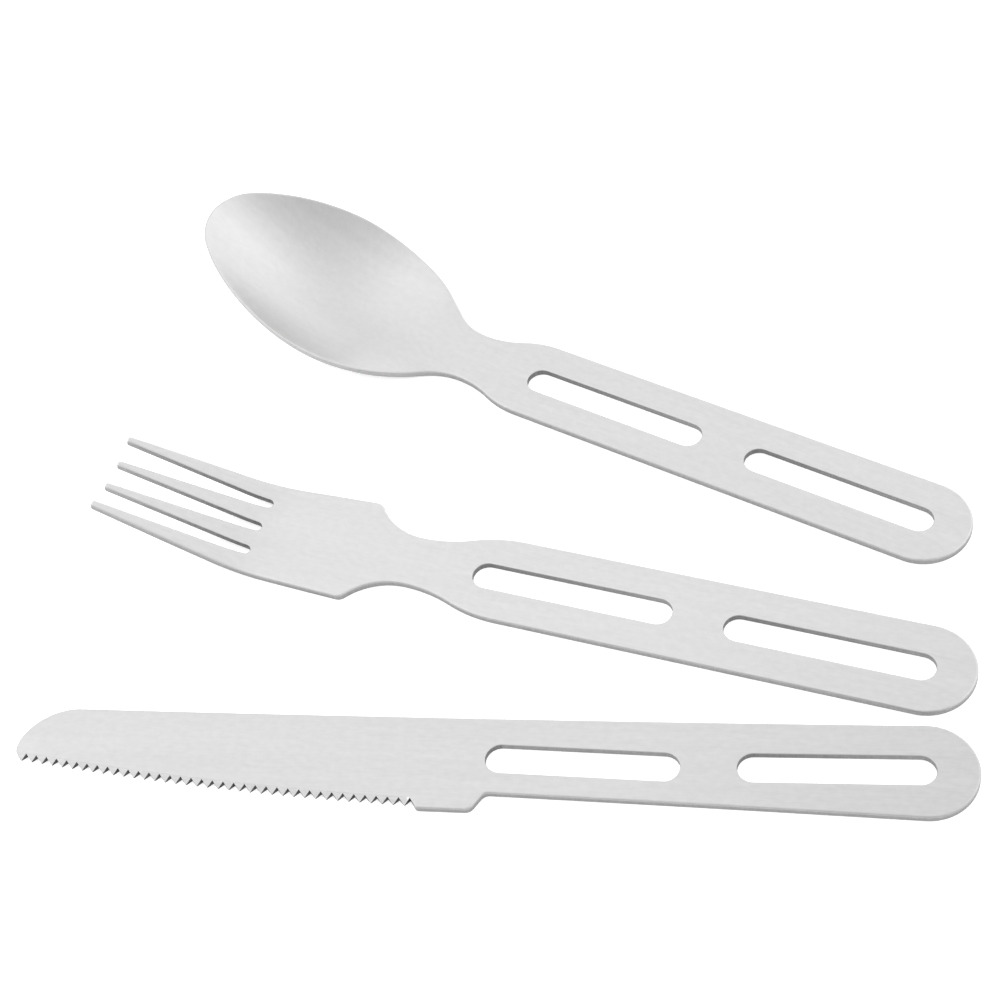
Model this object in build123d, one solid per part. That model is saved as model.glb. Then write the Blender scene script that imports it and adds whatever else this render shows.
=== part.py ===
from build123d import *
import math
import os

# Picnic cutlery: a serrated knife, a fork and a spoon, each stamped from one stainless sheet.
# Each piece is drawn lying flat in its own frame: X from the centre of the rounded handle end
# towards the head, Y across, Z up from the underside. The row at the end lays the three out.
# All sizes are in millimetres and all angles in degrees.

SHEET = 1.5                 # thickness of the stainless sheet
TALL = 60.0                 # height of the cutting prisms, more than any piece is tall
NEAR = 0.01                 # points closer than this are the same corner

# Slots through the handles: radius of their ends, and the two on the fork and on the spoon
SLOT_RADIUS = 3.0
END_SLOT_START = 0.8        # centre of the slot's first end circle
END_SLOT_LENGTH = 41.5
NECK_SLOT_START = 52.8
NECK_SLOT_LENGTH = 42.0

# Handle of the fork and of the spoon
HANDLE_HALF_WIDTH = 9.85

# Fork: waist, shoulders and tapering head
FORK_WAIST_START = 84.0
FORK_WAIST = 105.0
FORK_WAIST_HALF_WIDTH = 5.95
FORK_NECK_RADIUS = 13.9
FORK_SHOULDER_HALF_WIDTH = 12.3
FORK_SHOULDER_ROUND = 2.0
FORK_TIP = 173.0
FORK_TIP_HALF_WIDTH = 9.55
FORK_SIDE_BOW = 0.22        # how far the sides of the head bow out from straight

# Fork tines: four, with three gaps that widen towards the tips
GAP_ROOT = 139.7
GAP_ROOT_HALF_WIDTH = 1.05
OUTER_GAP_TIP_HALF_WIDTH = 2.16
MIDDLE_GAP_TIP_HALF_WIDTH = 2.32
GAP_ROOT_PITCH = 6.13
GAP_TIP_PITCH = 5.88
GAP_OVERRUN = 5.0           # how far the gaps are cut beyond the tips
TINE_TIP_ROUND = 0.6

# Fork bend: the head curves up from this line across it; the middle two tines rise less
BEND_START = 134.04
BEND_RADIUS = 42.0
OUTER_TINE_RISE = 17.75
MIDDLE_TINE_RISE = 15.5
MIDDLE_TINES_START = 143.0  # beyond this line the middle tines are formed on their own

# Spoon outline: waist, widest place and tip, with the points that shape the curve between
SPOON_WAIST_START = 90.0
SPOON_WAIST = (106.3, 6.55)
BOWL_REAR = [(112.0, 7.65), (117.0, 10.9), (123.0, 14.8), (129.0, 17.1), (136.0, 18.7)]
BOWL_WIDEST = (142.0, 19.1)
BOWL_FRONT = [(152.0, 17.65), (160.0, 14.72), (166.0, 11.25), (170.5, 7.15)]
BOWL_TIP = 173.0

# Bowl: the sheet stays flat to the start, then curls up across and rises towards the tip
BOWL_START = 108.0
BOWL_FADE = 14.0            # length over which the curl across grows in
CURL_ORIGIN = 98.2
CURL_RATE = 0.00091         # growth of the curl (1 / radius) for each millimetre along
RISE_START = 131.2
RISE_AT_TIP = 19.5
BOWL_REACH = 21.0           # half width of the pressed strip, a little more than the bowl's
BOWL_SECTIONS = 34

# Knife handle: a round end, straight sides that draw in, and the spine running on to the tip
KNIFE_END = (-9.7, -0.07)
KNIFE_BELLY = [(0.0, 9.57), (40.0, 8.65), (79.0, 7.9)]
KNIFE_SPINE = [(0.0, -9.7), (62.0, -8.6), (165.0, -7.7)]
BLADE_NOSE = [(171.0, -6.0), (174.35, -3.1)]
BLADE_TIP = (176.25, 1.5)
BLADE_CHIN = (175.8, 3.0)
# Each knife slot: first end circle along and across, turn, overall length
KNIFE_SLOTS = [(1.1, -0.1, 1.26, 36.3), (47.9, 1.05, -1.03, 37.0)]

# Knife heel: the step down from the handle to the cutting edge
HEEL_START = (81.2, 7.85)
HEEL_DEPTH = 11.6
HEEL_TOP = 83.5
HEEL_FRONT = 93.8
HEEL_ROUND = 2.0

# Knife teeth: right-angled gullets that touch, their roots on an arc that curves to the tip
GULLET_COUNT = 37
GULLET_FIRST = 95.2
GULLET_PITCH = 2.183
GULLET_DEPTH = GULLET_PITCH / 2
EDGE_CENTRE = (76.1, -690.49)
EDGE_RADIUS = 700.3

# The teeth are ground from above, from just inside the roots down to thin tips
GRIND_MARGIN = 0.1
TOOTH_THICKNESS = 0.2
GRIND_OVERRUN = 0.5         # how far the grinding ring reaches past the sheet and the tips
GRIND_END = 178.0           # a place past the blade's tip

# The row: the other handle ends from the fork's, and which way each head points
KNIFE_PLACE = (5.1, -21.8)
SPOON_PLACE = (-7.95, 33.8)
FORK_TURN = 180.0
KNIFE_TURN = 192.6
SPOON_TURN = 168.3


def slot(along, across, turn, length):
    """A round-ended slot, from its first end circle in the given direction."""
    centres = length - 2 * SLOT_RADIUS
    shape = SlotCenterToCenter(centres, 2 * SLOT_RADIUS)
    return Pos(along, across) * Rot(0, 0, turn) * Pos(centres / 2, 0) * shape


def handle_slots():
    return [
        slot(END_SLOT_START, 0, 0, END_SLOT_LENGTH),
        slot(NECK_SLOT_START, 0, 0, NECK_SLOT_LENGTH),
    ]


def prism(outline):
    """A tall solid over and under an outline, which cuts a formed sheet to that outline."""
    return Pos(0, 0, -TALL / 2) * extrude(outline, TALL)


def handle_side(waist_start, waist, waist_half_width):
    """One side of a handle: quarter of the round end, a straight run and two arcs to the waist."""
    run = waist - waist_start
    drop = HANDLE_HALF_WIDTH - waist_half_width
    radius = (run ** 2 + drop ** 2) / (4 * drop)
    turn = math.degrees(2 * math.atan2(drop, run))
    shoulder = (waist_start, HANDLE_HALF_WIDTH)
    inward = JernArc(shoulder, (1, 0), radius, -turn)
    return [
        CenterArc((0, 0), HANDLE_HALF_WIDTH, 180, -90),
        Line((0, HANDLE_HALF_WIDTH), shoulder),
        inward,
        JernArc(inward @ 1, inward % 1, radius, turn),
    ]


def both_sides(side):
    """The closed face whose one side is this chain of edges, mirrored across the X axis."""
    other_side = [mirror(edge, Plane.XZ) for edge in side]
    return make_face(Curve() + side + other_side)


def fork_outline():
    side = handle_side(FORK_WAIST_START, FORK_WAIST, FORK_WAIST_HALF_WIDTH)
    rise = FORK_SHOULDER_HALF_WIDTH - FORK_WAIST_HALF_WIDTH
    turn = math.degrees(math.acos(1 - rise / FORK_NECK_RADIUS))
    neck = JernArc((FORK_WAIST, FORK_WAIST_HALF_WIDTH), (1, 0), FORK_NECK_RADIUS, turn)
    shoulder = neck @ 1
    tip = Vector(FORK_TIP, FORK_TIP_HALF_WIDTH)
    middle = (shoulder + tip) / 2 + Vector(0, FORK_SIDE_BOW)
    side += [neck, ThreePointArc(shoulder, middle, tip), Line(tip, (FORK_TIP, 0))]
    face = both_sides(side)
    corners = [corner for corner in face.vertices() if abs(corner.X - shoulder.X) < NEAR]
    return fillet(corners, FORK_SHOULDER_ROUND)


def tine_gap(place):
    """One gap between two tines, round at its root and widest at the tips; place is -1, 0 or 1."""
    length = FORK_TIP - GAP_ROOT - GAP_ROOT_HALF_WIDTH
    root = GAP_ROOT_HALF_WIDTH
    tip = MIDDLE_GAP_TIP_HALF_WIDTH if place == 0 else OUTER_GAP_TIP_HALF_WIDTH
    beyond = length + GAP_OVERRUN
    end = root + (tip - root) * beyond / length
    wedge = make_face(Polyline((0, -root), (beyond, -end), (beyond, end), (0, root), close=True))
    lean = math.degrees(math.atan2(place * (GAP_TIP_PITCH - GAP_ROOT_PITCH), length))
    return Pos(GAP_ROOT + root, place * GAP_ROOT_PITCH) * Rot(0, 0, lean) * (wedge + Circle(root))


def bent_sheet(rise):
    """The fork's sheet seen from the side: flat, then an arc, then straight tines at this angle."""
    back = -2 * HANDLE_HALF_WIDTH
    low = JernArc((BEND_START, 0), (1, 0), BEND_RADIUS + SHEET / 2, rise)
    top = JernArc((BEND_START, SHEET), (1, 0), BEND_RADIUS - SHEET / 2, rise)
    tine = (FORK_TIP - (low @ 1).X) / math.cos(math.radians(rise))
    low_tip = low @ 1 + (low % 1) * tine
    top_tip = low_tip + (top @ 1 - low @ 1)
    profile = Curve() + [
        Line((back, 0), (BEND_START, 0)),
        low,
        Line(low @ 1, low_tip),
        Line(low_tip, top_tip),
        Line(top_tip, top @ 1),
        top,
        Line((BEND_START, SHEET), (back, SHEET)),
        Line((back, SHEET), (back, 0)),
    ]
    return extrude(Plane.XZ * make_face(profile), 2 * HANDLE_HALF_WIDTH, both=True)


def make_fork():
    blank = fork_outline()
    for cut in handle_slots() + [tine_gap(place) for place in (-1, 0, 1)]:
        blank -= cut
    middle_tines = Pos(MIDDLE_TINES_START + TALL / 2, 0) * Rectangle(TALL, 2 * GAP_TIP_PITCH)
    fork = bent_sheet(OUTER_TINE_RISE) & prism(blank - middle_tines)
    fork += bent_sheet(MIDDLE_TINE_RISE) & prism(blank & middle_tines)
    corners = [edge for edge in fork.edges().filter_by(GeomType.LINE)
               if edge.center().X > FORK_TIP - SHEET and abs(edge.length - SHEET) < NEAR]
    return fillet(corners, TINE_TIP_ROUND)


def spoon_outline():
    side = handle_side(SPOON_WAIST_START, *SPOON_WAIST)
    side.append(Spline(SPOON_WAIST, *BOWL_REAR, BOWL_WIDEST, tangents=[(1, 0), (1, 0)]))
    side.append(Spline(BOWL_WIDEST, *BOWL_FRONT, (BOWL_TIP, 0), tangents=[(1, 0), (0, -1)]))
    return both_sides(side)


def bowl_section(along):
    """A closed section across the pressed strip: a parabola that curls up on both sides."""
    fade = min((along - BOWL_START) / BOWL_FADE, 1)
    curl = CURL_RATE * (along - CURL_ORIGIN) * fade ** 2 * (3 - 2 * fade)
    climb = max(along - RISE_START, 0) / (BOWL_TIP - RISE_START)
    middle = RISE_AT_TIP * climb ** 2
    side = curl * BOWL_REACH ** 2 / 2
    edges = []
    for height, reach in ((middle, BOWL_REACH), (middle + SHEET, -BOWL_REACH)):
        start = (along, -reach, height + side)
        control = (along, 0, height - side)
        edges.append(Bezier(start, control, (along, reach, height + side)).edge())
    right = Line(edges[0] @ 1, edges[1] @ 0).edge()
    left = Line(edges[1] @ 1, edges[0] @ 0).edge()
    return Wire([edges[0], right, edges[1], left])


def make_spoon():
    outline = spoon_outline()
    window = 2 * BOWL_TIP
    flat = outline & Pos(BOWL_START - window / 2, 0) * Rectangle(window, window)
    for cut in handle_slots():
        flat -= cut
    step = (BOWL_TIP + SHEET - BOWL_START) / BOWL_SECTIONS
    sections = [bowl_section(BOWL_START + step * index) for index in range(BOWL_SECTIONS + 1)]
    blank = outline & Pos(BOWL_START + window / 2, 0) * Rectangle(window, window)
    bowl = Solid.make_loft(sections) & prism(blank)
    return extrude(flat, SHEET) + bowl


def gullet(index):
    """Where a gullet's root lies along the cutting edge."""
    along = GULLET_FIRST + GULLET_PITCH * index
    return along, EDGE_CENTRE[1] + math.sqrt(EDGE_RADIUS ** 2 - (along - EDGE_CENTRE[0]) ** 2)


def toothed_edge():
    """Points of the cutting edge from the heel to the last tooth, two flanks to each gullet."""
    points = [(HEEL_FRONT, HEEL_DEPTH)]
    for index in range(GULLET_COUNT):
        along, across = gullet(index)
        points.append((along, across))
        next_across = gullet(index + 1)[1]
        points.append((along + GULLET_PITCH / 2, (across + next_across) / 2 + GULLET_DEPTH))
    return points


def knife_outline():
    heel = (HEEL_TOP, HEEL_DEPTH)
    teeth = toothed_edge()
    edges = [
        ThreePointArc(KNIFE_SPINE[0], KNIFE_END, KNIFE_BELLY[0]),
        ThreePointArc(*KNIFE_BELLY),
        Polyline(KNIFE_BELLY[-1], HEEL_START, heel, *teeth),
        ThreePointArc(teeth[-1], BLADE_CHIN, BLADE_TIP),
        Spline(BLADE_TIP, *BLADE_NOSE[::-1], KNIFE_SPINE[-1], tangents=[(0, -1), (-1, 0)]),
        ThreePointArc(*KNIFE_SPINE[::-1]),
    ]
    face = make_face(Curve() + edges)
    corners = [corner for corner in face.vertices()
               if (Vector(*HEEL_START) - corner.center()).length < NEAR
               or (Vector(*heel) - corner.center()).length < NEAR]
    return fillet(corners, HEEL_ROUND)


def angle_at(along):
    """Direction, from the centre of the cutting edge's arc, of the place this far along it."""
    return math.degrees(math.acos((along - EDGE_CENTRE[0]) / EDGE_RADIUS))


def grinding_ring():
    """The stretch of a conical ring that thins the teeth, from the first root to past the tip."""
    start = EDGE_RADIUS - GRIND_MARGIN
    width = GRIND_MARGIN + GULLET_DEPTH
    slope = (SHEET - TOOTH_THICKNESS) / width
    inner = (start - GRIND_OVERRUN, SHEET + slope * GRIND_OVERRUN)
    outer = (start + width + GRIND_OVERRUN, TOOTH_THICKNESS - slope * GRIND_OVERRUN)
    profile = Plane.XZ * make_face(Polyline(inner, outer, (outer[0], inner[1]), close=True))
    low_angle = angle_at(GRIND_END)
    ring = revolve(profile, Axis.Z, angle_at(GULLET_FIRST) - low_angle)
    return Pos(*EDGE_CENTRE) * Rot(0, 0, low_angle) * ring


def make_knife():
    blank = knife_outline()
    for values in KNIFE_SLOTS:
        blank -= slot(*values)
    return extrude(blank, SHEET) - grinding_ring()


def lay_out(pieces):
    """Turn and place each (outline, solid, place, turn), then centre the row on the origin."""
    boxes = []
    for outline, solid, place, turn in pieces.values():
        boxes.append((Pos(*place) * Rot(0, 0, turn) * outline).bounding_box())
    middle_x = (min(box.min.X for box in boxes) + max(box.max.X for box in boxes)) / 2
    middle_y = (min(box.min.Y for box in boxes) + max(box.max.Y for box in boxes)) / 2
    row = {}
    for name, (outline, solid, place, turn) in pieces.items():
        row[name] = Pos(place[0] - middle_x, place[1] - middle_y) * Rot(0, 0, turn) * solid
        print(name, "handle end at", round(place[0] - middle_x, 3), round(place[1] - middle_y, 3))
    return row


def main():
    pieces = {
        "knife": (knife_outline(), make_knife(), KNIFE_PLACE, KNIFE_TURN),
        "fork": (fork_outline(), make_fork(), (0, 0), FORK_TURN),
        "spoon": (spoon_outline(), make_spoon(), SPOON_PLACE, SPOON_TURN),
    }
    os.makedirs("parts", exist_ok=True)
    for name, solid in lay_out(pieces).items():
        export_step(solid, f"parts/{name}.step")


main()
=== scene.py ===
import math

import bmesh
import bpy
import numpy as np
from mathutils import Matrix, Vector


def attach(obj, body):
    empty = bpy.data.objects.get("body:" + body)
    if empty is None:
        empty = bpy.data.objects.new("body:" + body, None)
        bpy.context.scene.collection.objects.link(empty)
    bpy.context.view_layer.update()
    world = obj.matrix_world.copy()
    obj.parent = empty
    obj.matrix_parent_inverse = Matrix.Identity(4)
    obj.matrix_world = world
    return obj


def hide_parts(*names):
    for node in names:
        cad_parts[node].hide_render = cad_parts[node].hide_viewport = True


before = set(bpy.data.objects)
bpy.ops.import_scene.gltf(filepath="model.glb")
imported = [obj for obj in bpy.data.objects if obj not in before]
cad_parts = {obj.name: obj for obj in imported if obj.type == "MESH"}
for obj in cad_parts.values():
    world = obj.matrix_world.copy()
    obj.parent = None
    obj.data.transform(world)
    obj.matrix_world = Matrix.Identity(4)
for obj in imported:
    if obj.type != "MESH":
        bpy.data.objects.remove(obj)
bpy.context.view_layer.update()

# Picnic cutlery: knife, fork and spoon stamped from brushed stainless sheet.
# Each piece is drawn flat in its own frame, in millimetres: X from the centre of the rounded
# handle end towards the head, Y across, Z up from the underside. It is sliced into small cells,
# pressed to shape, and laid where its CAD node lies.

MM = 0.001

SHEET = 1.5                 # thickness of the sheet
OUTER_ROUND = 0.45          # upper edges of the outline, tumbled smooth
INNER_ROUND = 0.2           # upper edges of the slots and of the gaps between tines
TOOTH_ROUND = 0.07          # the teeth stay sharp
LOW_ROUND = 0.12            # all lower edges
ROUND_STEPS = 3
SHARP = math.radians(40)    # edges that turn more than this are shaded sharp
CURVE_STEP = 0.5            # spacing of points along curves
CORNER_STEPS = 8            # straight steps round each rounded corner
FLAT_CELL = 4.0             # size of the mesh cells where the sheet is flat
FORMED_CELL = 1.2           # and where it is bent or pressed
CELL_MARGIN = 0.5           # no cell border lies nearer than this to an end of the blank
SAME_POINT = 1e-4           # points nearer than this are one point
ROOT_NEAR = 0.001           # how near a gullet's root a point counts as on it
CREASE_NEAR = 0.01          # and how near the start of the grinding
FLAT_NORMAL = 0.999         # faces pointing up or down at least this much are flat
SHORTEST_EDGE = 0.002       # shorter edges are merged away
NORMAL_WEIGHT = 80          # how far large faces lead the shading of small ones

SLOT_RADIUS = 3.0
END_REACH = 3.0             # how far back the end of a slot or of a gap reaches
# Each slot: where its rear round is centred along and across, its turn in degrees, its length
HANDLE_SLOTS = [(0.8, 0.0, 0.0, 41.5), (52.8, 0.0, 0.0, 42.0)]
KNIFE_SLOTS = [(1.1, -0.1, 1.26, 36.3), (47.9, 1.05, -1.03, 37.0)]
HANDLE_HALF_WIDTH = 9.85

FORK_WAIST_START = 84.0
FORK_WAIST = (105.0, 5.95)
FORK_NECK_RADIUS = 13.9
FORK_SHOULDER_HALF_WIDTH = 12.3
FORK_SHOULDER_CUT = 1.2     # how far the shoulder's rounding reaches each way
FORK_TIP = (173.0, 9.55)
FORK_SIDE_BOW = 0.22
GAP_ROOT = 139.7
GAP_ROOT_HALF_WIDTH = 1.05
OUTER_GAP_TIP_HALF_WIDTH = 2.16
MIDDLE_GAP_TIP_HALF_WIDTH = 2.32
GAP_ROOT_PITCH = 6.13
GAP_TIP_PITCH = 5.88
TINE_TIP_CUT = 0.6
GAP_MARGIN = 0.1            # how far outside a gap a point still counts as on its edge
FORK_CELLS_START = 124.0    # the fork's small cells start ahead of its bend
BEND_START = 134.04
BEND_RADIUS = 42.0
OUTER_TINE_RISE = math.radians(17.75)
MIDDLE_TINE_RISE = math.radians(15.5)

SPOON_WAIST_START = 90.0
SPOON_WAIST = (106.3, 6.55)
BOWL_REAR = [(112.0, 7.65), (117.0, 10.9), (123.0, 14.8), (129.0, 17.1), (136.0, 18.7)]
BOWL_WIDEST = (142.0, 19.1)
BOWL_FRONT = [(152.0, 17.65), (160.0, 14.72), (166.0, 11.25), (170.5, 7.15)]
BOWL_TIP = 173.0
BOWL_START = 108.0
BOWL_FADE = 14.0
CURL_ORIGIN = 98.2
CURL_RATE = 0.00091
RISE_START = 131.2
RISE_AT_TIP = 19.5

KNIFE_END = (-9.7, -0.07)
KNIFE_BELLY = [(0.0, 9.57), (40.0, 8.65), (79.0, 7.9)]
KNIFE_SPINE = [(0.0, -9.7), (62.0, -8.6), (165.0, -7.7)]
BLADE_NOSE = [(171.0, -6.0), (174.35, -3.1)]
BLADE_TIP = (176.25, 1.5)
BLADE_CHIN = (175.8, 3.0)
HEEL_START = (81.2, 7.85)
HEEL_END = (83.5, 11.6)
HEEL_FRONT = 93.8
HEEL_CUT = 1.1
HEEL_FRONT_CUT = 0.25
GULLET_COUNT = 37
GULLET_FIRST = 95.2
GULLET_PITCH = 2.183
GULLET_DEPTH = GULLET_PITCH / 2
EDGE_CENTRE = (76.1, -690.49)
EDGE_RADIUS = 700.3         # the gullets' roots stand along this arc
GRIND_MARGIN = 0.1          # the grinding of the teeth starts this far above the roots
GRIND_RADIUS = EDGE_RADIUS - GRIND_MARGIN
TOOTH_THICKNESS = 0.2       # what it leaves at the tip of each tooth
TOOTH_LEAD = 0.1            # teeth are counted from this far behind the first root
TOOTH_MARGIN = 0.2          # and from this far above the roots

# Where each handle's end lies, in the row frame, and which way its head points
TURNS = {"knife": 192.6, "fork": 180.0, "spoon": 168.3}
HANDLE_ENDS = {"knife": (86.579, -30.928), "fork": (81.479, -9.128), "spoon": (73.529, 24.672)}


# ---------------------------------------------------------------- plane curves

def arc(centre, radius, start, end):
    """Points along a circle's arc, from one angle to another, in degrees."""
    count = max(2, math.ceil(abs(math.radians(end - start)) * radius / CURVE_STEP))
    angles = [math.radians(start + (end - start) * i / count) for i in range(count + 1)]
    return [(centre[0] + radius * math.cos(a), centre[1] + radius * math.sin(a)) for a in angles]


def arc_through(first, middle, last):
    """Points along the arc through three points."""
    (ax, ay), (bx, by), (cx, cy) = first, middle, last
    d = 2 * (ax * (by - cy) + bx * (cy - ay) + cx * (ay - by))
    a, b, c = ax * ax + ay * ay, bx * bx + by * by, cx * cx + cy * cy
    x = (a * (by - cy) + b * (cy - ay) + c * (ay - by)) / d
    y = (a * (cx - bx) + b * (ax - cx) + c * (bx - ax)) / d
    radius = math.hypot(ax - x, ay - y)
    start, mid, end = [math.degrees(math.atan2(q - y, p - x)) for p, q in (first, middle, last)]
    sweep = (end - start) % 360
    if (mid - start) % 360 > sweep:
        sweep -= 360
    return arc((x, y), radius, start, start + sweep)


def spline(points, start, end):
    """Points along the smooth cubic curve through the given ones, with these end directions."""
    p = np.array(points, float)
    gaps = np.linalg.norm(np.diff(p, axis=0), axis=1)
    count = len(p)
    system = np.eye(count)
    right = np.zeros((count, 2))
    right[0] = np.array(start) / np.linalg.norm(start)
    right[-1] = np.array(end) / np.linalg.norm(end)
    for i in range(1, count - 1):
        before, after = gaps[i - 1], gaps[i]
        system[i, i - 1:i + 2] = after, 2 * (before + after), before
        right[i] = 3 * (after * (p[i] - p[i - 1]) / before + before * (p[i + 1] - p[i]) / after)
    slopes = np.linalg.solve(system, right)
    found = []
    for i in range(count - 1):
        steps = max(2, math.ceil(gaps[i] / CURVE_STEP))
        for k in range(steps):
            t = k / steps
            found.append((2 * t**3 - 3 * t**2 + 1) * p[i] + (t**3 - 2 * t**2 + t) * gaps[i] * slopes[i]
                         + (3 * t**2 - 2 * t**3) * p[i + 1] + (t**3 - t**2) * gaps[i] * slopes[i + 1])
    return [tuple(q) for q in found] + [tuple(p[-1])]


def trimmed(path, cut):
    """The path without its last stretch of the given length."""
    path = list(path)
    while len(path) > 1:
        last, before = Vector(path[-1]), Vector(path[-2])
        length = (last - before).length
        if length > cut + 1e-6:
            return path[:-1] + [tuple(last + (before - last) * (cut / length))]
        cut -= length
        path.pop()
    return path


def joined(paths, cuts):
    """One path from several that meet end to end; each meeting is rounded over its cut."""
    whole = list(paths[0])
    for path, cut in zip(paths[1:], cuts):
        if cut == 0:
            whole += path[1:]
            continue
        corner = Vector(path[0])
        whole = trimmed(whole, cut)
        path = trimmed(path[::-1], cut)[::-1]
        first, last = Vector(whole[-1]), Vector(path[0])
        for k in range(1, CORNER_STEPS):
            t = k / CORNER_STEPS
            whole.append(tuple(first * (1 - t)**2 + corner * (2 * t * (1 - t)) + last * t**2))
        whole += path
    return whole


def mirrored(side):
    """The closed outline of this side and its mirror image across the X axis."""
    return side + [(x, -y) for x, y in side[-2:0:-1]]


# ---------------------------------------------------------------- outlines

def slot_hole(along, across, turn, length):
    run = length - 2 * SLOT_RADIUS
    shape = arc((0, 0), SLOT_RADIUS, 90, 270) + arc((run, 0), SLOT_RADIUS, -90, 90)
    c, s = math.cos(math.radians(turn)), math.sin(math.radians(turn))
    return [(along + x * c - y * s, across + x * s + y * c) for x, y in shape]


def handle_side(waist_start, waist):
    """Half of the round end, the straight side and the two arcs that lead in to the waist."""
    run = waist[0] - waist_start
    drop = HANDLE_HALF_WIDTH - waist[1]
    radius = (run**2 + drop**2) / (4 * drop)
    turn = math.degrees(2 * math.atan2(drop, run))
    end = arc((0, 0), HANDLE_HALF_WIDTH, 180, 90)
    inward = arc((waist_start, HANDLE_HALF_WIDTH - radius), radius, 90, 90 - turn)
    outward = arc((waist[0], waist[1] + radius), radius, -90 - turn, -90)
    return end + inward + outward[1:]


def gap_side(place, side, length):
    """Root centre and far end of one side of a gap between tines."""
    lean = math.atan2(place * (GAP_TIP_PITCH - GAP_ROOT_PITCH), length)
    half_width = MIDDLE_GAP_TIP_HALF_WIDTH if place == 0 else OUTER_GAP_TIP_HALF_WIDTH
    along, across = length, side * half_width
    x = along * math.cos(lean) - across * math.sin(lean)
    y = along * math.sin(lean) + across * math.cos(lean)
    return (GAP_ROOT + GAP_ROOT_HALF_WIDTH + x, place * GAP_ROOT_PITCH + y)


def fork_outline():
    rise = FORK_SHOULDER_HALF_WIDTH - FORK_WAIST[1]
    turn = math.degrees(math.acos(1 - rise / FORK_NECK_RADIUS))
    neck = arc((FORK_WAIST[0], FORK_WAIST[1] + FORK_NECK_RADIUS), FORK_NECK_RADIUS, -90, -90 + turn)
    shoulder, tip = neck[-1], FORK_TIP
    middle = ((shoulder[0] + tip[0]) / 2, (shoulder[1] + tip[1]) / 2 + FORK_SIDE_BOW)
    handle = handle_side(FORK_WAIST_START, FORK_WAIST)
    paths = [handle + neck[1:], arc_through(shoulder, middle, tip)]
    cuts = [FORK_SHOULDER_CUT]
    length = tip[0] - GAP_ROOT - GAP_ROOT_HALF_WIDTH
    last = tip
    for place in (1, 0):
        far, near = gap_side(place, 1, length), gap_side(place, -1, length)
        centre = (GAP_ROOT + GAP_ROOT_HALF_WIDTH, place * GAP_ROOT_PITCH)
        root = arc(centre, GAP_ROOT_HALF_WIDTH, 90, 270)
        paths += [[last, far], [far] + root + [near]]
        cuts += [TINE_TIP_CUT, TINE_TIP_CUT]
        last = near
    whole = joined(paths, cuts)
    side = [p for p in whole if p[1] > 1e-9]
    root_end = (GAP_ROOT, 0.0)
    return mirrored([whole[0]] + side + [root_end])


def spoon_outline():
    rear = spline([SPOON_WAIST] + BOWL_REAR + [BOWL_WIDEST], (1, 0), (1, 0))
    front = spline([BOWL_WIDEST] + BOWL_FRONT + [(BOWL_TIP, 0.0)], (1, 0), (0, -1))
    return mirrored(handle_side(SPOON_WAIST_START, SPOON_WAIST) + rear[1:] + front[1:])


def gullet(index):
    """Where a gullet's root lies along the cutting edge."""
    along = GULLET_FIRST + GULLET_PITCH * index
    return along, EDGE_CENTRE[1] + math.sqrt(EDGE_RADIUS**2 - (along - EDGE_CENTRE[0])**2)


def knife_outline():
    heel_corner = (HEEL_FRONT, HEEL_END[1])
    teeth = [heel_corner]
    for index in range(GULLET_COUNT):
        along, across = gullet(index)
        teeth.append((along, across))
        middle = (across + gullet(index + 1)[1]) / 2
        teeth.append((along + GULLET_PITCH / 2, middle + GULLET_DEPTH))
    nose = spline([BLADE_TIP] + BLADE_NOSE[::-1] + [KNIFE_SPINE[-1]], (0, -1), (-1, 0))
    paths = [
        arc_through(KNIFE_SPINE[0], KNIFE_END, KNIFE_BELLY[0]),
        arc_through(*KNIFE_BELLY) + [HEEL_START],
        [HEEL_START, HEEL_END],
        [HEEL_END, heel_corner],
        teeth,
        arc_through(teeth[-1], BLADE_CHIN, BLADE_TIP),
        nose,
        arc_through(*KNIFE_SPINE[::-1]),
    ]
    return joined(paths, [0, HEEL_CUT, HEEL_CUT, HEEL_FRONT_CUT, 0, 0, 0])[:-1]


# ---------------------------------------------------------------- pressing

BOWL_EDGE_LIFT = 0.7           # how much of the sheared edge's darker colour, duller steel and painted shade, is taken off round the bowl


def fork_form(along, across, height):
    """The blank bent up across the head: flat, an arc, then straight tines, the middle ones lower."""
    if along <= BEND_START:
        return along, across, height
    full = MIDDLE_TINE_RISE if abs(across) < GAP_TIP_PITCH else OUTER_TINE_RISE
    end = BEND_START + BEND_RADIUS * math.sin(full)
    angle = math.asin(min((along - BEND_START) / BEND_RADIUS, math.sin(full)))
    rise = BEND_RADIUS * (1 - math.cos(angle)) + max(along - end, 0) * math.tan(full)
    off = height - SHEET / 2
    return along - off * math.sin(angle), across, SHEET / 2 + rise + off * math.cos(angle)


def spoon_form(along, across, height):
    """The blank pressed to a bowl: a parabola across each section, rising towards the tip."""
    if along <= BOWL_START:
        return along, across, height
    fade = min((along - BOWL_START) / BOWL_FADE, 1)
    curl = CURL_RATE * (along - CURL_ORIGIN) * fade**2 * (3 - 2 * fade)
    climb = max(along - RISE_START, 0) / (BOWL_TIP - RISE_START)
    return along, across, height + RISE_AT_TIP * climb**2 + curl * across**2 / 2


def ground_share(along, across):
    """How far down its bevel a point of the knife is: 0 on the flat, 1 at the tip of a tooth."""
    if along <= GULLET_FIRST:
        return 0.0
    beyond = math.dist((along, across), EDGE_CENTRE) - GRIND_RADIUS
    return min(max(beyond / (EDGE_RADIUS + GULLET_DEPTH - GRIND_RADIUS), 0), 1)


def knife_form(along, across, height):
    """The flat blank, with its teeth ground thin from above."""
    return along, across, height * (1 - ground_share(along, across) * (1 - TOOTH_THICKNESS / SHEET))


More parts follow.
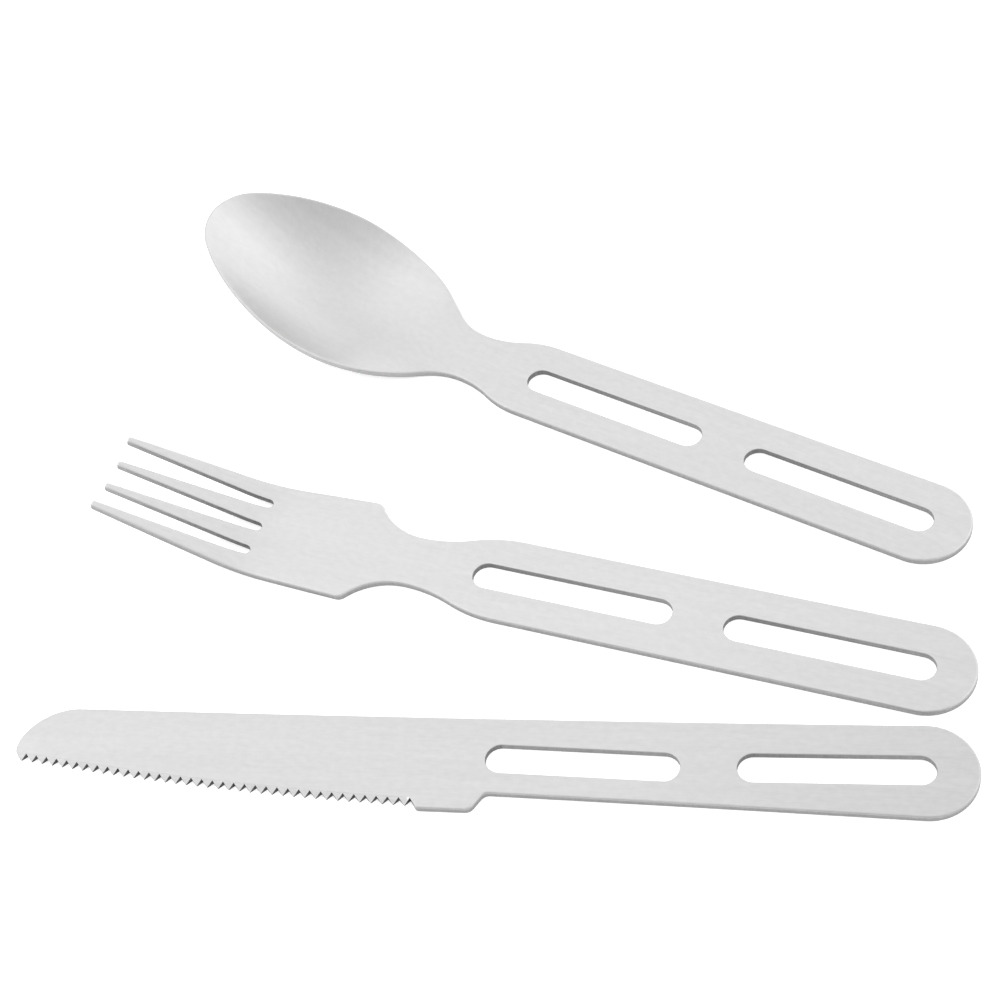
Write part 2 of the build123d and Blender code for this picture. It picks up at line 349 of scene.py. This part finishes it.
def wall_darkening(along):
    """The spoon's sheared edge takes its darker colour, duller steel and painted shade, fully at the neck
    and less of it round the bowl.
    """
    return 1.0 - BOWL_EDGE_LIFT * min(max((along - SPOON_WAIST[0]) / (BOWL_WIDEST[0] - SPOON_WAIST[0]), 0), 1)


# ---------------------------------------------------------------- meshes

# Painted shade on the sheared edges, darkest between the teeth, then at the ends of slots and gaps
GULLET_SHADE = 1.0          # how deep in shade the sheared edge is between the teeth,
END_SHADE = 0.5             # at the ends of slots and gaps,
SLOT_SHADE = 0.1            # along the sides of slots
OPEN_SHADE = 0.0            # and on the open outline


def inward(loop):
    """For each point of a loop, with the material on its left, the way to offset it inward."""
    p = np.array(loop)
    d = np.roll(p, -1, axis=0) - p
    d /= np.linalg.norm(d, axis=1)[:, None]
    n = np.column_stack([-d[:, 1], d[:, 0]])
    before = np.roll(n, 1, axis=0)
    return (before + n) / (1 + np.sum(before * n, axis=1))[:, None]


def area(loop):
    p = np.array(loop)
    q = np.roll(p, -1, axis=0)
    return np.sum(p[:, 0] * q[:, 1] - q[:, 0] * p[:, 1]) / 2


def without_repeats(loop):
    kept = [loop[0]]
    for q in loop[1:]:
        if math.dist(q, kept[-1]) > SAME_POINT:
            kept.append(q)
    if math.dist(kept[0], kept[-1]) < SAME_POINT:
        kept.pop()
    return kept


def is_root(along, across):
    """Whether an outline point is the root of one of the knife's gullets."""
    index = round((along - GULLET_FIRST) / GULLET_PITCH)
    return 0 <= index < GULLET_COUNT and math.dist((along, across), gullet(index)) < ROOT_NEAR


def is_crease(edge):
    """Whether an edge of the blank runs from root to root, where the knife's grinding starts."""
    return all(abs(math.dist(v.co.xy, EDGE_CENTRE) - GRIND_RADIUS) < CREASE_NEAR for v in edge.verts)


def depth_of_shade(point, loop, reach):
    """How much painted shade darkens the sheared edge: most between teeth, then at the roots of gaps and
    slots.
    """
    if reach == TOOTH_ROUND:
        return GULLET_SHADE
    if reach == OUTER_ROUND:
        return OPEN_SHADE
    front = max(along for along, across in loop)
    at_end = point[0] > front - END_REACH or abs(point[0] - GAP_ROOT) < END_REACH
    return END_SHADE if at_end else SLOT_SHADE


def edge_ring(step, reach):
    """Inset, drop and share of the way round, for one ring of an edge rounded over this reach."""
    angle = math.pi / 2 * step / ROUND_STEPS
    return reach * (1 - math.sin(angle)), reach * (1 - math.cos(angle)), step / ROUND_STEPS


def blank_mesh(outline, holes, edge_round):
    """The flat stamped blank: rounded edges along every loop, and a face above and below."""
    bm = bmesh.new()
    cut = bm.verts.layers.float.new("cut")
    deep = bm.verts.layers.float.new("deep")
    caps = {"low": [], "top": []}
    loops = [(outline, 1)] + [(hole, -1) for hole in holes]
    roots = []
    for loop, sign in loops:
        loop = without_repeats(loop)
        if area(loop) * sign < 0:
            loop = loop[::-1]
        shift = inward(loop)
        rounds = [edge_round(*q) if sign > 0 else INNER_ROUND for q in loop]
        made = []
        steps = range(ROUND_STEPS + 1)
        for is_top, step in [(False, k) for k in steps] + [(True, k) for k in steps[::-1]]:
            verts = []
            for q, s, r in zip(loop, shift, rounds):
                inset, drop, share = edge_ring(step, r if is_top else min(r, LOW_ROUND))
                height = SHEET - drop if is_top else drop
                vert = bm.verts.new((q[0] + s[0] * inset, q[1] + s[1] * inset, height))
                vert[cut] = share
                # how much painted shade darkens the sheared edge here
                vert[deep] = depth_of_shade(q, loop, r)
                verts.append(vert)
            made.append(verts)
        roots += [made[-1][i] for i, q in enumerate(loop) if is_root(*q)]
        count = len(loop)
        for lower, upper in zip(made, made[1:]):
            for i in range(count):
                j = (i + 1) % count
                bm.faces.new((lower[i], lower[j], upper[j], upper[i]))
        for cap, verts in (("low", made[0]), ("top", made[-1])):
            caps[cap] += [bm.edges.get((verts[i], verts[(i + 1) % count])) for i in range(count)]
    for edges in caps.values():
        bmesh.ops.triangle_fill(bm, use_beauty=True, use_dissolve=False, edges=edges)
    bmesh.ops.recalc_face_normals(bm, faces=bm.faces)
    for first, second in zip(roots, roots[1:]):
        bmesh.ops.connect_vert_pair(bm, verts=[first, second])
    return bm


def cell_lines(low, high, formed):
    """Cell borders along one axis, close together from where the forming starts."""
    lines = []
    at = math.ceil(low / FLAT_CELL) * FLAT_CELL
    while at < min(high, formed):
        lines.append(at)
        at += FLAT_CELL
    at = max(formed, low)
    while at < high:
        lines.append(at)
        at += FORMED_CELL
    return lines


def slice_cells(bm, formed):
    """Cuts the blank along a grid, then takes out the fill's own diagonals."""
    xs = [v.co.x for v in bm.verts]
    ys = [v.co.y for v in bm.verts]
    step = FORMED_CELL if formed < max(xs) else FLAT_CELL
    across = [step * k for k in range(math.ceil(min(ys) / step), math.ceil(max(ys) / step))]
    along = cell_lines(min(xs) + CELL_MARGIN, max(xs) - CELL_MARGIN, formed)
    for axis, lines in ((0, along), (1, across)):
        normal = Vector((1, 0, 0)) if axis == 0 else Vector((0, 1, 0))
        for at in lines:
            geometry = bm.verts[:] + bm.edges[:] + bm.faces[:]
            bmesh.ops.bisect_plane(bm, geom=geometry, dist=1e-5, plane_co=normal * at, plane_no=normal)

    def on_line(edge):
        a, b = edge.verts[0].co, edge.verts[1].co
        for axis, lines in ((0, along), (1, across)):
            if abs(a[axis] - b[axis]) < SAME_POINT and any(abs(a[axis] - at) < SAME_POINT for at in lines):
                return True
        return False

    flat = [e for e in bm.edges if len(e.link_faces) == 2
            and all(abs(f.normal.z) > FLAT_NORMAL for f in e.link_faces)
            and not on_line(e) and not is_crease(e)]
    bmesh.ops.dissolve_edges(bm, edges=flat, use_verts=True)
    bmesh.ops.dissolve_degenerate(bm, dist=SHORTEST_EDGE, edges=bm.edges)


def make_piece(name, outline, holes, form, formed, edge_round):
    """Cuts, slices and presses one utensil, and lays it in the row in place of its CAD node."""
    bm = blank_mesh(outline, holes, edge_round)
    slice_cells(bm, formed)
    sheet = bm.verts.layers.float_vector.new("sheet")
    edge_darkening = bm.verts.layers.float.new("edge_darkening")
    ground = bm.verts.layers.float.new("ground")
    for vert in bm.verts:
        vert[sheet] = vert.co
        # how much of the edge's darker colour and painted shade this point takes
        vert[edge_darkening] = wall_darkening(vert.co.x) if form is spoon_form else 1.0
        toothed = form is knife_form and vert.co.x <= gullet(GULLET_COUNT - 1)[0]
        vert[ground] = ground_share(vert.co.x, vert.co.y) if toothed else 0.0
        vert.co = form(*vert.co)
    bm.normal_update()
    for edge in bm.edges:
        edge.smooth = len(edge.link_faces) == 2 and edge.calc_face_angle() < SHARP
    for face in bm.faces:
        face.smooth = True
    end = HANDLE_ENDS[name]
    turn = Matrix.Rotation(math.radians(TURNS[name]), 4, "Z")
    bm.transform(Matrix.Translation((end[0] * MM, end[1] * MM, 0)) @ turn @ Matrix.Scale(MM, 4))
    mesh = bpy.data.meshes.new(name + "_sheet")
    bm.to_mesh(mesh)
    bm.free()
    piece = bpy.data.objects.new(name + "_sheet", mesh)
    bpy.context.scene.collection.objects.link(piece)
    weighted = piece.modifiers.new("weighted_normals", "WEIGHTED_NORMAL")
    weighted.keep_sharp = True
    weighted.weight = NORMAL_WEIGHT
    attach(piece, name)
    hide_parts(name)
    return piece


# ---------------------------------------------------------------- materials

WALL_TONE = 0.27            # the sheared edges of the sheet are darker than its faces: partly duller sheared steel, partly painted shade
# tone of the sheared edge where its painted shade is darkest, between the teeth
SHADED_WALL_TONE = 0.07
WALL_START = 0.5            # share of an edge's rounding past which it looks sheared
WALL_ROUGHNESS = 0.15       # what the sheared edges add to the roughness of the faces
FACE_ROUGHNESS = (0.31, 0.43)
BEVEL_HIGHLIGHT = 0.2           # painted highlight: the ground bevel of the teeth is painted brighter than the faces, where it catches the light
BEVEL_HIGHLIGHT_RISE = 0.03          # share of the bevel over which it brightens
HANDLE_SHADE_STRETCH = (-10.0, 50.0)    # painted shade: the handle is darker towards the start of this stretch
PRESS_BLEND = 8             # the two kinds of grain blend over this far each way
BRUSHING_TONE = 0.014       # how far the brushing changes the tone
BUMP_STRENGTH = 0.25
BUMP_DEPTH = 0.01 * MM
NOISE_DETAIL = 2.0
NOISE_RANGE = (0.3, 0.7)    # most of the noise lies between these

# Grains per millimetre along, across and up, and how strong they are
BRUSHED = (0.25, 4.0, 0.5), 1.0
PRESSED = (2.5, 2.5, 2.5), 0.7
BLOTCHES = (0.6, 0.9, 0.6), 0.012
STREAKS = (0.02, 0.5, 0.3), 0.008
SHEARED = (3.0, 3.0, 0.3), 0.02


def math_node(tree, operation, a, b):
    node = tree.nodes.new("ShaderNodeMath")
    node.operation = operation
    for socket, value in zip(node.inputs, (a, b)):
        if isinstance(value, (int, float)):
            socket.default_value = value
        else:
            tree.links.new(value, socket)
    return node.outputs["Value"]


def brushed_steel(name, tone, handle_shade, pressed):
    """Satin stainless steel; painted shade darkens the handle's end by the amount given; past `pressed` its
    grain is even.
    """
    mat = bpy.data.materials.new(name)
    mat.use_nodes = True
    tree = mat.node_tree
    nodes, links = tree.nodes, tree.links
    shader = nodes["Principled BSDF"]
    shader.inputs["Metallic"].default_value = 1.0

    def attribute(label, output):
        node = nodes.new("ShaderNodeAttribute")
        node.attribute_name = label
        return node.outputs[output]

    sheet = attribute("sheet", "Vector")

    def grain(scale, strength):
        """Noise with this many grains per millimetre each way, this far up and down from zero."""
        mapping = nodes.new("ShaderNodeMapping")
        mapping.inputs["Scale"].default_value = scale
        links.new(sheet, mapping.inputs["Vector"])
        noise = nodes.new("ShaderNodeTexNoise")
        noise.inputs["Scale"].default_value = 1.0
        noise.inputs["Detail"].default_value = NOISE_DETAIL
        links.new(mapping.outputs["Vector"], noise.inputs["Vector"])
        return ramp(noise.outputs["Fac"], *NOISE_RANGE, -strength, strength)

    def ramp(value, low, high, out_low, out_high):
        node = nodes.new("ShaderNodeMapRange")
        node.inputs["From Min"].default_value = low
        node.inputs["From Max"].default_value = high
        node.inputs["To Min"].default_value = out_low
        node.inputs["To Max"].default_value = out_high
        links.new(value, node.inputs["Value"])
        return node.outputs["Result"]

    def mix(factor, first, second):
        node = nodes.new("ShaderNodeMix")
        links.new(factor, node.inputs["Factor"])
        links.new(first, node.inputs[2])
        links.new(second, node.inputs[3])
        return node.outputs[0]

    place = nodes.new("ShaderNodeSeparateXYZ")
    links.new(sheet, place.inputs["Vector"])
    in_head = ramp(place.outputs["X"], pressed - PRESS_BLEND, pressed + PRESS_BLEND, 0.0, 1.0)
    brushing = mix(in_head, grain(*BRUSHED), grain(*PRESSED))
    mottling = math_node(tree, "ADD", grain(*BLOTCHES), grain(*STREAKS))
    shade = math_node(tree, "ADD", math_node(tree, "MULTIPLY", brushing, BRUSHING_TONE), mottling)
    # painted highlight on the ground bevel of the teeth
    ground = ramp(attribute("ground", "Fac"), 0.0, BEVEL_HIGHLIGHT_RISE, 0.0, BEVEL_HIGHLIGHT)
    # painted shade darkens the handle's end
    base = math_node(tree, "ADD", ramp(place.outputs["X"], *HANDLE_SHADE_STRETCH, tone - handle_shade, tone), ground)
    bright = math_node(tree, "ADD", shade, base)

    wall = ramp(attribute("cut", "Fac"), WALL_START, 1.0, 0.0, 1.0)
    # The sheared edges: duller steel with painted shade, darkest between the teeth
    edge_tone_and_shade = ramp(attribute("deep", "Fac"), 0.0, 1.0, WALL_TONE, SHADED_WALL_TONE)
    sheared = math_node(tree, "ADD", edge_tone_and_shade, grain(*SHEARED))
    colour = nodes.new("ShaderNodeCombineColor")
    for socket in colour.inputs[:3]:
        links.new(mix(math_node(tree, "MULTIPLY", wall, attribute("edge_darkening", "Fac")), bright, sheared), socket)
    links.new(colour.outputs["Color"], shader.inputs["Base Color"])

    polish = ramp(brushing, -1.0, 1.0, *FACE_ROUGHNESS)
    coarseness = math_node(tree, "MULTIPLY", wall, WALL_ROUGHNESS)
    links.new(math_node(tree, "ADD", polish, coarseness), shader.inputs["Roughness"])
    bump = nodes.new("ShaderNodeBump")
    bump.inputs["Strength"].default_value = BUMP_STRENGTH
    bump.inputs["Distance"].default_value = BUMP_DEPTH
    links.new(brushing, bump.inputs["Height"])
    links.new(bump.outputs["Normal"], shader.inputs["Normal"])
    return mat


# ---------------------------------------------------------------- pieces

def knife_round(along, across):
    root_line = gullet((along - GULLET_FIRST) / GULLET_PITCH)[1]
    toothed = along > GULLET_FIRST - TOOTH_LEAD and across > root_line - TOOTH_MARGIN
    return TOOTH_ROUND if toothed else OUTER_ROUND


def fork_round(along, across):
    near_root = abs(along - GAP_ROOT) < END_REACH
    in_gap = abs(across) < GAP_ROOT_PITCH + GAP_ROOT_HALF_WIDTH + GAP_MARGIN
    return INNER_ROUND if near_root and in_gap else OUTER_ROUND


def spoon_round(along, across):
    return OUTER_ROUND


HANDLE_HOLES = [slot_hole(*values) for values in HANDLE_SLOTS]
KNIFE_HOLES = [slot_hole(*values) for values in KNIFE_SLOTS]
FAR_AWAY = 1000.0           # past every piece: nothing is pressed
knife = make_piece("knife", knife_outline(), KNIFE_HOLES, knife_form, FAR_AWAY, knife_round)
fork = make_piece("fork", fork_outline(), HANDLE_HOLES, fork_form, FORK_CELLS_START, fork_round)
spoon = make_piece("spoon", spoon_outline(), HANDLE_HOLES, spoon_form, BOWL_START, spoon_round)
# Tone of the faces, how much painted shade darkens the handle's end, and where the pressed grain starts
for piece, tone, handle_shade, pressed in (
    (knife, 0.475, 0.035, FAR_AWAY),
    (fork, 0.50, 0.03, FAR_AWAY),
    (spoon, 0.488, 0.0, BOWL_START),
):
    piece.data.materials.append(brushed_steel(piece.name + "_steel", tone, handle_shade, pressed))


# ---------------------------------------------------------------- floor, light and camera

SKY_LIGHT = 0.84
SOFT_LIGHTS = [             # strength, azimuth, elevation, tightness
    (0.93, 34, 40, 8.6),
    (1.06, 183, 51, 2.8),
    (1.15, 85, 2, 3.4),
    (0.63, -11, 42, 10.0),
]
FLOOR_RADIUS = 3.0
FLOOR_SIDES = 64
FLOOR_GAP = 0.0002          # the floor lies this far below the pieces
FLOOR_TONE = 0.93
FLOOR_ROUGHNESS = 0.9
FLOOR_GLOW = 0.4
CAMERA_AZIMUTH = math.radians(29.94)
CAMERA_ELEVATION = math.radians(51.38)
CAMERA_ROLL = math.radians(-13.12)
CAMERA_DISTANCE = 0.4229    # metres, like its target
CAMERA_TARGET = (-0.01152, 0.010222, 0.00075)
CAMERA_LENS = 73.08         # millimetres, like its sensor
CAMERA_SENSOR = 36.0
CLIP_START = 0.01


def make_floor():
    bm = bmesh.new()
    bmesh.ops.create_circle(bm, cap_ends=True, segments=FLOOR_SIDES, radius=FLOOR_RADIUS)
    mesh = bpy.data.meshes.new("floor")
    bm.to_mesh(mesh)
    bm.free()
    floor = bpy.data.objects.new("floor", mesh)
    floor.location.z = -FLOOR_GAP
    bpy.context.scene.collection.objects.link(floor)
    mat = bpy.data.materials.new("floor")
    mat.use_nodes = True
    shader = mat.node_tree.nodes["Principled BSDF"]
    shader.inputs["Base Color"].default_value = (FLOOR_TONE, FLOOR_TONE, FLOOR_TONE, 1)
    shader.inputs["Roughness"].default_value = FLOOR_ROUGHNESS
    shader.inputs["Emission Color"].default_value = (1, 1, 1, 1)
    shader.inputs["Emission Strength"].default_value = FLOOR_GLOW
    mesh.materials.append(mat)


def make_world():
    """An even sky with broad soft lights in it."""
    world = bpy.data.worlds.new("studio")
    world.use_nodes = True
    nodes, links = world.node_tree.nodes, world.node_tree.links
    direction = nodes.new("ShaderNodeTexCoord").outputs["Generated"]
    total = None
    for strength, azimuth, elevation, tightness in SOFT_LIGHTS:
        flat = math.cos(math.radians(elevation))
        towards = nodes.new("ShaderNodeVectorMath")
        towards.operation = "DOT_PRODUCT"
        towards.inputs[1].default_value = (
            flat * math.cos(math.radians(azimuth)),
            flat * math.sin(math.radians(azimuth)),
            math.sin(math.radians(elevation)),
        )
        links.new(direction, towards.inputs[0])
        facing = math_node(world.node_tree, "MAXIMUM", towards.outputs["Value"], 0.0)
        lobe = math_node(world.node_tree, "POWER", facing, tightness)
        glow = math_node(world.node_tree, "MULTIPLY", lobe, strength)
        total = math_node(world.node_tree, "ADD", glow, SKY_LIGHT if total is None else total)
    links.new(total, nodes["Background"].inputs["Strength"])
    nodes["Background"].inputs["Color"].default_value = (1, 1, 1, 1)
    bpy.context.scene.world = world


def make_camera():
    data = bpy.data.cameras.new("camera")
    data.lens = CAMERA_LENS
    data.sensor_width = CAMERA_SENSOR
    camera = bpy.data.objects.new("camera", data)
    bpy.context.scene.collection.objects.link(camera)
    turn = Matrix.Rotation(CAMERA_AZIMUTH, 4, "Z")
    tilt = Matrix.Rotation(math.pi / 2 - CAMERA_ELEVATION, 4, "X")
    spin = Matrix.Rotation(CAMERA_ROLL, 4, "Z")
    back = Matrix.Translation((0, 0, CAMERA_DISTANCE))
    camera.matrix_world = Matrix.Translation(CAMERA_TARGET) @ turn @ tilt @ spin @ back
    data.clip_start = CLIP_START
    bpy.context.scene.camera = camera


make_floor()
make_world()
make_camera()
bpy.context.scene.view_settings.view_transform = "Standard"
